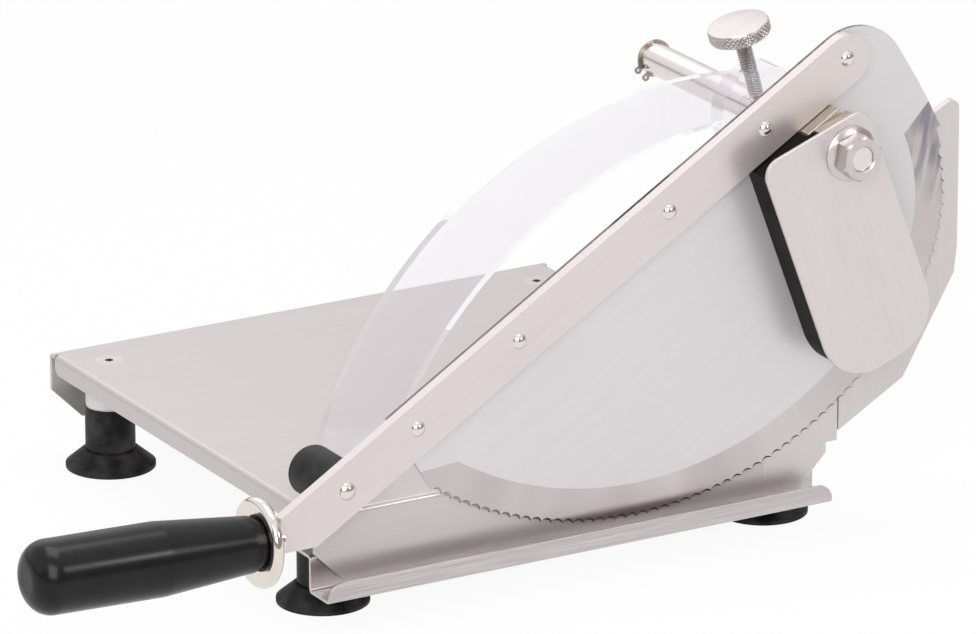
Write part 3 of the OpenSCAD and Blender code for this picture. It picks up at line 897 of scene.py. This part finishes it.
def ring_piece(
    name: str, rings: list[Ring], place: Matrix, loop: bool, smooth: float
) -> bpy.types.Object:
    """Builds a closed piece from rings of points round its axis.

    Args:
        name: The piece's name.
        rings: The rings, each with the same number of points.
        place: Where the piece's own frame lies in the row frame.
        loop: True if the last ring joins the first, as round a bore; otherwise both ends are capped.
        smooth: Edges that turn by more than this angle stay crisp.

    Returns:
        The new object.
    """
    work = bmesh.new()
    rows = [[work.verts.new(place @ point) for point in points] for points in rings]
    sides = len(rows[0])
    pairs = list(zip(rows, rows[1:]))
    if loop:
        pairs.append((rows[-1], rows[0]))
    else:
        work.faces.new(list(reversed(rows[0])))
        work.faces.new(rows[-1])
    for low, high in pairs:
        for step in range(sides):
            after = (step + 1) % sides
            work.faces.new((low[step], low[after], high[after], high[step]))
    bmesh.ops.recalc_face_normals(work, faces=work.faces)
    piece = mesh_piece(name, work)
    piece.data.polygons.foreach_set("use_smooth", [True] * len(piece.data.polygons))
    piece.data.set_sharp_from_angle(angle=smooth)
    return piece


def axis_frame(origin: Vector, axis: Vector, side: Vector) -> Matrix:
    """Sets a frame with its Z along an axis.

    Args:
        origin: The frame's origin.
        axis: The direction of its Z.
        side: The direction that its X lies nearest to.

    Returns:
        The frame's matrix.
    """
    up = axis.normalized()
    across = (side - up * side.dot(up)).normalized()
    turn = Matrix((across, up.cross(across), up)).transposed()
    return Matrix.Translation(origin) @ turn.to_4x4()


def triangle(value: float) -> float:
    """Gives a triangle wave of period 1 between 0 and 1."""
    part = value - math.floor(value)
    return 1.0 - abs(2.0 * part - 1.0)


def adopt(piece: bpy.types.Object, body: str, node: str) -> None:
    """Makes a new piece stand for a CAD node.

    Args:
        piece: The new piece.
        body: The CAD body that it moves with.
        node: The CAD node that it stands for.
    """
    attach(piece, body)
    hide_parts(node)
    LOG.info("built %s for %s on %s", piece.name, node, body)


@dataclass
class Thread:
    """An outside screw thread."""

    radius: float
    pitch: float
    depth: float
    sides: int
    rows: int = 6

    def rings(self, start: float, end: float) -> list[Ring]:
        """Gives rings that follow the helix.

        Args:
            start: The height where the thread starts.
            end: The height where it ends.

        Returns:
            The rings from start to end.
        """
        count = max(2, round((end - start) / self.pitch * self.rows))
        made = []
        for row in range(count + 1):
            height = start + (end - start) * row / count
            run = min(1.0, row / self.rows, (count - row) / self.rows)
            made.append(ring(self._flank(height, run), height, self.sides))
        return made

    def _flank(self, height: float, run: float) -> Callable[[float], float]:
        """Gives the radius round the thread at a height.

        Args:
            height: The height along the screw.
            run: 1 on the full thread, falling to 0 where it runs out.

        Returns:
            The radius at each angle.
        """

        def radius(angle: float) -> float:
            """Gives the radius at an angle."""
            wave = triangle(height / self.pitch - angle / math.tau)
            return self.radius - self.depth * (1.0 - run * wave)

        return radius


@dataclass
class Base:
    """The folded board with its upright, gutter and feet."""

    edge: float = 0.00035

    def dress(self, finishes: Finishes) -> None:
        """Gives the base its finishes and softened edges.

        Args:
            finishes: The built materials.
        """
        finishes.dress(Finish.BOARD, "base_frame")
        finishes.dress(Finish.GUTTER, "crumb_gutter")
        finishes.dress(Finish.UPRIGHT, "upright_plate")
        corners = [f"{side}_{end}" for side in ("front", "rear") for end in ("left", "right")]
        finishes.dress(Finish.FOOT, *(f"foot_{corner}" for corner in corners))
        finishes.dress(Finish.NYLON, *(f"sleeve_{corner}" for corner in corners))
        finishes.dress(Finish.NICKEL, "foot_screws")
        for name in ("base_frame", "crumb_gutter", "upright_plate"):
            soften(name, self.edge)


@dataclass
class Arc:
    """One arc of the cutting edge, with the angles set out in the lever's frame."""

    centre: Vector
    radius: float
    teeth: int
    way: int
    start: float = math.radians(-70.3)
    pitch: float = 0.006

    def tooth_angle(self, number: int) -> float:
        """Gives the angle of the middle of a tooth's hollow."""
        return self.start + self.way * (number + 0.5) * self.pitch / self.radius


@dataclass
class Hollow:
    """A grinding cutter, as one circle inside the sheet's front and one behind its back."""

    front_depth: float = 0.0007
    front_radius: float = 0.00279
    front_rise: float = -0.00041
    back_depth: float = 0.0023
    back_radius: float = 0.00441
    back_rise: float = 0.00367
    sides: int = 32

    def cut(self, work: bmesh.types.BMesh, arc: Arc, number: int) -> None:
        """Adds the cutter of one tooth to a mesh.

        Args:
            work: The mesh to add to.
            arc: The arc that the tooth stands on.
            number: The tooth's number, counted from where the two arcs meet.
        """
        angle = arc.tooth_angle(number)
        rows = []
        for depth, radius, rise in (
            (self.front_depth, self.front_radius, self.front_rise),
            (self.back_depth, self.back_radius, self.back_rise),
        ):
            reach = arc.radius + rise
            middle = arc.centre + Vector((reach * math.cos(angle), 0.0, reach * math.sin(angle)))
            points = ring(even(radius), 0.0, self.sides)
            spots = [lever_point(middle.x + point.x, middle.z + point.y, depth) for point in points]
            rows.append([work.verts.new(spot) for spot in spots])
        front, back = rows
        work.faces.new(front)
        work.faces.new(back)
        for step in range(self.sides):
            after = (step + 1) % self.sides
            work.faces.new((front[step], front[after], back[after], back[step]))


@dataclass
class Lever:
    """The bar with its blade, hub, rivets and buffer."""

    edge: float = 0.0005
    arc_radius: float = 0.197
    arc_teeth: int = 49
    heel_radius: float = 0.0995
    heel_teeth: int = 15

    def dress(self, finishes: Finishes) -> None:
        """Gives the lever its finishes and softened edges, and builds the blade.

        Args:
            finishes: The built materials.
        """
        finishes.paint(self.blade(), Finish.BLADE)
        finishes.dress(Finish.BAR, "lever_bar")
        finishes.dress(Finish.POLISHED, "blade_rivets", "buffer_screw")
        finishes.dress(Finish.MILLED, "lever_hub")
        finishes.dress(Finish.BRONZE, "hub_bush")
        finishes.dress(Finish.BUFFER, "stop_buffer")
        for name in ("lever_bar", "lever_hub", "stop_buffer"):
            soften(name, self.edge)

    def arcs(self) -> list[Arc]:
        """Sets out the cutting edge.

        Returns:
            The long arc and the heel's arc, which touch where both start.
        """
        along = Arc(Vector((ARC_ALONG, 0.0, ARC_ACROSS)), self.arc_radius, self.arc_teeth, -1)
        shift = self.arc_radius - self.heel_radius
        turn = Vector((math.cos(along.start), 0.0, math.sin(along.start)))
        return [along, Arc(along.centre + turn * shift, self.heel_radius, self.heel_teeth, 1)]

    def cutters(self, odd: int) -> bpy.types.Object:
        """Builds the cutters of every second tooth, so that no two of them touch.

        Args:
            odd: 0 or 1, for which of the teeth.

        Returns:
            An object to cut with, which isn't kept.
        """
        work = bmesh.new()
        for arc in self.arcs():
            first = odd if arc.way < 0 else 1 - odd
            for number in range(first, arc.teeth, 2):
                Hollow().cut(work, arc, number)
        bmesh.ops.recalc_face_normals(work, faces=work.faces)
        return mesh_piece(f"cutters_{odd}", work)

    def blade(self) -> bpy.types.Object:
        """Builds the blade with a leaning hollow ground into each of its teeth.

        Returns:
            The blade, which rides on the lever.
        """
        node = frame["nodes"]["blade"]
        work = bmesh.new()
        work.from_mesh(node.data)
        work.transform(node.matrix_world)
        bmesh.ops.remove_doubles(work, verts=work.verts, dist=WELD_REACH)
        plain = mesh_piece("blade_plain", work)
        piece = carve("blade_ground", plain, [self.cutters(0), self.cutters(1)])
        adopt(piece, "lever", "blade")
        return piece


@dataclass
class Handle:
    """The grip with its ferrule and tang."""

    def dress(self, finishes: Finishes) -> None:
        """Gives the handle its finishes.

        Args:
            finishes: The built materials.
        """
        finishes.dress(Finish.GRIP, "handle_grip")
        finishes.dress(Finish.FERRULE, "handle_ferrule")
        finishes.dress(Finish.TURNED, "handle_tang")


@dataclass
class PivotGuide:
    """The shaft through the upright, with the guide and the nut in front of the blade."""

    stud_radius: float = 0.006
    flange_radius: float = 0.0136
    flange_rim: float = 0.0016
    hex_flat: float = 0.0099
    nut_height: float = 0.012
    flange_foot: float = 0.0004
    flange_top: float = 0.0005
    hex_low: float = 0.0028
    hex_spare: float = 0.0004
    hex_steps: int = 8
    corner_drop: float = 0.0010
    corner_slope: float = 1.3
    crown_inset: float = 0.0012
    bore_chamfer: float = 0.0006
    sides: int = 96
    crisp: float = math.radians(25)
    edge: float = 0.0004
    pad_inset: float = 0.0026
    inset_from: float = -0.030
    inset_run: float = 0.016
    room_left: float = -0.0107
    room_low: float = 0.0047
    room_size: float = 0.08

    def dress(self, finishes: Finishes) -> None:
        """Gives the guide its finishes and softened edges, and builds the pad and the nut.

        Args:
            finishes: The built materials.
        """
        finishes.dress(Finish.TURNED, "pivot_shaft", "shaft_collar")
        finishes.dress(Finish.MILLED, "guide_block")
        finishes.dress(Finish.SPRING, "shaft_circlip")
        finishes.dress(Finish.BRONZE, "thrust_washer")
        finishes.dress(Finish.COVER, "cover_plate")
        for name in ("pivot_shaft", "shaft_collar", "guide_block", "cover_plate"):
            soften(name, self.edge)
        finishes.paint(self.pad(), Finish.PAD)
        finishes.paint(self.nut(), Finish.NICKEL)

    def pad(self) -> bpy.types.Object:
        """Builds the pad with its left side set in from the cover, and open above the guide block.

        Returns:
            The pad, which rides on the frame.
        """
        node = frame["nodes"]["guide_pad"]
        inside = Matrix.Translation(PIVOT) @ Matrix.Rotation(-COVER_ANGLE, 4, "Y")
        work = bmesh.new()
        work.from_mesh(node.data)
        work.transform(inside.inverted() @ node.matrix_world)
        bmesh.ops.remove_doubles(work, verts=work.verts, dist=WELD_REACH)
        for vert in work.verts:
            left = (self.inset_from - vert.co.x) / self.inset_run
            vert.co.x += self.pad_inset * min(max(left, 0.0), 1.0)
        work.transform(inside)
        room = bmesh.new()
        middle = Vector((self.room_left + self.room_size / 2, 0.0, self.room_low + self.room_size / 2))
        bmesh.ops.create_cube(room, size=self.room_size, matrix=inside @ Matrix.Translation(middle))
        piece = carve("guide_pad_inset", mesh_piece("pad_plain", work), [mesh_piece("pad_room", room)])
        # Mirror images leave the black pad out, because there it would darken the bar beside it.
        piece.visible_glossy = False
        adopt(piece, "frame", "guide_pad")
        return piece

    def nut(self) -> bpy.types.Object:
        """Builds the flanged hexagon nut.

        Returns:
            The nut, which rides on the frame.
        """
        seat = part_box("pivot_nut")[1].y
        side = Vector((math.cos(COVER_ANGLE), 0.0, math.sin(COVER_ANGLE)))
        place = axis_frame(Vector((PIVOT.x, seat, PIVOT.z)), Vector((0.0, -1.0, 0.0)), side)
        flange = [
            (self.stud_radius, 0.0),
            (self.flange_radius - self.flange_foot, 0.0),
            (self.flange_radius, self.flange_foot),
            (self.flange_radius, self.flange_rim - self.flange_top),
            (self.flange_radius - self.flange_top, self.flange_rim),
        ]
        rings = [ring(even(radius), height, self.sides) for radius, height in flange]
        corner = self.hex_flat / math.cos(HALF_SIDE)
        rings.append(ring(self._hexagon(corner, corner + self.hex_spare), self.hex_low, self.sides))
        for step in range(1, self.hex_steps + 1):
            height = self.hex_low + (self.nut_height - self.hex_low) * step / self.hex_steps
            reach = corner + (self.nut_height - self.corner_drop - height) * self.corner_slope
            rings.append(ring(self._hexagon(corner, reach), height, self.sides))
        crown = [
            (self.hex_flat - self.crown_inset, self.nut_height),
            (self.stud_radius + self.bore_chamfer, self.nut_height),
            (self.stud_radius, self.nut_height - self.bore_chamfer),
        ]
        rings += [ring(even(radius), height, self.sides) for radius, height in crown]
        piece = ring_piece("pivot_nut_flanged", rings, place, True, self.crisp)
        adopt(piece, "frame", "pivot_nut")
        return piece

    def _hexagon(self, corner: float, reach: float) -> Callable[[float], float]:
        """Gives the radius of a hexagon with its corners cut back.

        Args:
            corner: The radius at an uncut corner.
            reach: The radius that the corners are cut back to.

        Returns:
            The radius at each angle.
        """
        flat = corner * math.cos(HALF_SIDE)

        def radius(angle: float) -> float:
            """Gives the radius at an angle."""
            inside = (angle + HALF_SIDE) % (2 * HALF_SIDE) - HALF_SIDE
            return min(flat / math.cos(HALF_SIDE - abs(inside)), reach)

        return radius


@dataclass
class Guard:
    """The clear hand guard with its thumb screw."""

    edge: float = 0.0006
    tip: float = 0.0083
    head_low: float = 0.0405
    head_top: float = 0.0472
    head_radius: float = 0.0154
    thread_radius: float = 0.004
    thread_pitch: float = 0.00125
    thread_depth: float = 0.0007
    knurls: int = 72
    knurl_depth: float = 0.0005
    knurl_lead: float = 0.0013
    knurl_sides: int = 4
    knurl_rows: int = 12
    tip_chamfer: float = 0.0004
    tip_length: float = 0.0005
    neck: float = 0.0012
    rim: float = 0.0008
    rim_share: float = 0.7
    crown: tuple[tuple[float, float], ...] = ((0.0003, 0.0006), (0.0006, 0.0001), (0.0010, 0.0))
    crisp: float = math.radians(38)

    def dress(self, finishes: Finishes) -> None:
        """Gives the guard its finish and softened edges, and builds the thumb screw.

        Args:
            finishes: The built materials.
        """
        finishes.dress(Finish.CLEAR, "hand_guard")
        soften("hand_guard", self.edge, segments=3)
        finishes.paint(self.screw(), Finish.NICKEL)

    def screw(self) -> bpy.types.Object:
        """Builds the thumb screw with its thread and knurled head.

        Returns:
            The screw, which rides on its own body.
        """
        facts = joint_facts("clamp_turn")
        place = axis_frame(Vector(facts["pos_m"]), Vector(facts["axis"]), Vector((0.0, 1.0, 0.0)))
        sides = self.knurls * self.knurl_sides
        root = self.thread_radius - self.thread_depth
        thread = Thread(self.thread_radius, self.thread_pitch, self.thread_depth, sides)
        rings = [ring(even(root - self.tip_chamfer), self.tip, sides)]
        rings += thread.rings(self.tip + self.tip_length, self.head_low - self.neck)
        rings.append(ring(even(root), self.head_low, sides))
        rings.append(ring(even(self.head_radius - self.rim), self.head_low, sides))
        low = self.head_low + self.rim * self.rim_share
        high = self.head_top - self.rim
        for row in range(self.knurl_rows + 1):
            height = low + (high - low) * row / self.knurl_rows
            rim = row in (0, self.knurl_rows)
            rings.append(ring(self._knurl(height - low, rim), height, sides))
        for inset, drop in self.crown:
            rings.append(ring(even(self.head_radius - inset), self.head_top - drop, sides))
        piece = ring_piece("thumb_screw_knurled", rings, place, False, self.crisp)
        adopt(piece, "clamp_screw", "thumb_screw")
        return piece

    def _knurl(self, height: float, rim: bool) -> Callable[[float], float]:
        """Gives the radius of the diamond knurl.

        Args:
            height: The height over the knurl's foot.
            rim: True at the knurl's two ends, where the radius is its root's.

        Returns:
            The radius at each angle.
        """

        def radius(angle: float) -> float:
            """Gives the radius at an angle.

            Args:
                angle: The angle round the screw.

            Returns:
                The radius there.
            """
            if rim:
                return self.head_radius - self.knurl_depth
            turn = angle / math.tau * self.knurls
            lift = height / self.knurl_lead
            wave = min(triangle(turn / 2 + lift / 2), triangle(turn / 2 - lift / 2))
            return self.head_radius - self.knurl_depth * (1.0 - 2.0 * min(wave, 0.5))

        return radius


@dataclass(frozen=True)
class Lamp:
    """A soft square lamp that points at the slicer."""

    name: str
    spot: tuple[float, float, float]
    size: float
    power: float
    shadow: bool = True
    aim: tuple[float, float, float] = (0.0, 0.0, 0.1)

    def hang(self) -> None:
        """Hangs the lamp."""
        data = bpy.data.lights.new(self.name, "AREA")
        data.size = self.size
        data.energy = self.power
        data.use_shadow = self.shadow
        lamp = bpy.data.objects.new(self.name, data)
        lamp.location = self.spot
        lamp.rotation_mode = "QUATERNION"
        lamp.rotation_quaternion = (Vector(self.aim) - Vector(self.spot)).to_track_quat("-Z", "Y")
        bpy.context.scene.collection.objects.link(lamp)


@dataclass
class Studio:
    """The camera, floor, lamps and world."""

    width_px: float = 976.0
    focal_px: float = 7976.4
    sensor: float = 36.0
    yaw: float = math.radians(29.93)
    pitch: float = math.radians(18.79)
    roll: float = math.radians(-0.108)
    aside: float = 0.16134
    rise: float = 0.08441
    distance: float = 3.82135
    clip: tuple[float, float] = (0.1, 50.0)
    floor_reach: float = 9.0
    floor_drop: float = 0.0002
    floor_tone: float = 0.93
    floor_white: float = 0.92
    ambient: float = 0.45
    horizon: float = 0.8
    horizon_colour: Rgb = (0.22, 0.17, 0.13)
    horizon_foot: Window = (-0.06, 0.02)
    horizon_turn: Window = (-0.3, 0.1)
    horizon_near: float = 0.75
    horizon_far: float = 0.16
    horizon_full: float = 0.6
    lamps: tuple[Lamp, ...] = (
        Lamp("front", (-1.5, -2.1, 1.5), 1.7, 34.0),
        Lamp("streak", (1.25, -2.1, 1.4), 0.4, 9.0, shadow=False),
        Lamp("top", (0.1, 0.2, 2.6), 1.8, 28.0),
        Lamp("back", (0.3, 2.3, 1.9), 1.8, 5.0),
    )

    def build(self) -> None:
        """Builds the whole studio."""
        self.camera()
        self.floor()
        self.world()
        for lamp in self.lamps:
            lamp.hang()
        bpy.context.scene.view_settings.view_transform = "Standard"

    def camera(self) -> None:
        """Places the camera at the photograph's viewpoint."""
        back = Vector(
            (
                -math.sin(self.yaw) * math.cos(self.pitch),
                -math.cos(self.yaw) * math.cos(self.pitch),
                math.sin(self.pitch),
            )
        )
        level = Vector((math.cos(self.yaw), -math.sin(self.yaw), 0.0))
        upright = back.cross(level)
        right = level * math.cos(self.roll) + upright * math.sin(self.roll)
        up = upright * math.cos(self.roll) - level * math.sin(self.roll)
        data = bpy.data.cameras.new("camera")
        data.sensor_fit = "HORIZONTAL"
        data.sensor_width = self.sensor
        data.lens = self.focal_px / self.width_px * self.sensor
        data.clip_start, data.clip_end = self.clip
        camera = bpy.data.objects.new("camera", data)
        spot = PIVOT - right * self.aside - up * self.rise + back * self.distance
        turn = Matrix((right, up, back)).transposed().to_4x4()
        camera.matrix_world = Matrix.Translation(spot) @ turn
        bpy.context.scene.collection.objects.link(camera)
        bpy.context.scene.camera = camera

    def floor(self) -> None:
        """Lays a plain pale floor that keeps the shadow."""
        reach = self.floor_reach
        corners = [(-reach, -reach, 0), (reach, -reach, 0), (reach, reach, 0), (-reach, reach, 0)]
        mesh = bpy.data.meshes.new("floor")
        mesh.from_pydata(corners, [], [(0, 1, 2, 3)])
        floor = bpy.data.objects.new("floor", mesh)
        floor.location.z = -self.floor_drop
        bpy.context.scene.collection.objects.link(floor)
        material = bpy.data.materials.new("pale_floor")
        material.use_nodes = True
        sheet = NodeSheet(material.node_tree)
        sheet.tree.nodes.clear()
        tone = (self.floor_tone, self.floor_tone, self.floor_tone, 1.0)
        matt = sheet.add("ShaderNodeBsdfDiffuse", {"Color": tone})
        glow = sheet.add("ShaderNodeEmission", {"Color": (1.0, 1.0, 1.0, 1.0), "Strength": 1.0})
        seen = sheet.math("MULTIPLY", self._seen(sheet), self.floor_white)
        mixed = sheet.add("ShaderNodeMixShader", {0: seen, 1: matt.outputs[0], 2: glow.outputs[0]})
        sheet.add("ShaderNodeOutputMaterial", {"Surface": mixed.outputs[0]})
        mesh.materials.append(material)

    def world(self) -> None:
        """Makes a white world to look at, dim at the horizon in metal, and a gentler one for light."""
        world = bpy.data.worlds.new("studio")
        bpy.context.scene.world = world
        world.use_nodes = True
        sheet = NodeSheet(world.node_tree)
        sheet.tree.nodes.clear()
        way = sheet.split(sheet.add("ShaderNodeTexCoord").outputs["Generated"])
        reach = sheet.remap(way["Y"], *self.horizon_turn, self.horizon_near, self.horizon_far)
        rise = sheet.remap(way["Z"], *self.horizon_foot)
        fall = sheet.remap(way["Z"], sheet.math("MULTIPLY", reach, self.horizon_full), reach, 1.0, 0.0)
        glossy = sheet.add("ShaderNodeLightPath").outputs["Is Glossy Ray"]
        band = sheet.math("MULTIPLY", sheet.math("MULTIPLY", rise, fall), glossy)
        share = sheet.math("MULTIPLY", band, self.horizon)
        colour = sheet.blend(share, (1.0, 1.0, 1.0), self.horizon_colour)
        strength = sheet.remap(self._seen(sheet), 0.0, 1.0, self.ambient, 1.0)
        light = sheet.add("ShaderNodeBackground", {"Color": colour, "Strength": strength})
        sheet.add("ShaderNodeOutputWorld", {"Surface": light.outputs[0]})

    @staticmethod
    def _seen(sheet: NodeSheet) -> bpy.types.NodeSocket:
        """Tells rays that are seen, directly or in metal or glass, from rays that light.

        Args:
            sheet: The nodes of the floor or the world.

        Returns:
            1 for a ray that is seen and 0 for the others.
        """
        path = sheet.add("ShaderNodeLightPath").outputs
        mirrored = sheet.math("MAXIMUM", path["Is Glossy Ray"], path["Is Transmission Ray"])
        return sheet.math("MAXIMUM", path["Is Camera Ray"], mirrored)


def main() -> None:
    """Builds the studio and each sub-assembly in order."""
    logging.basicConfig(level=logging.INFO, format="%(name)s: %(message)s")
    Studio().build()
    finishes = Finishes()
    for assembly in (Base(), Lever(), Handle(), PivotGuide(), Guard()):
        assembly.dress(finishes)


if __name__ == "__main__":
    main()
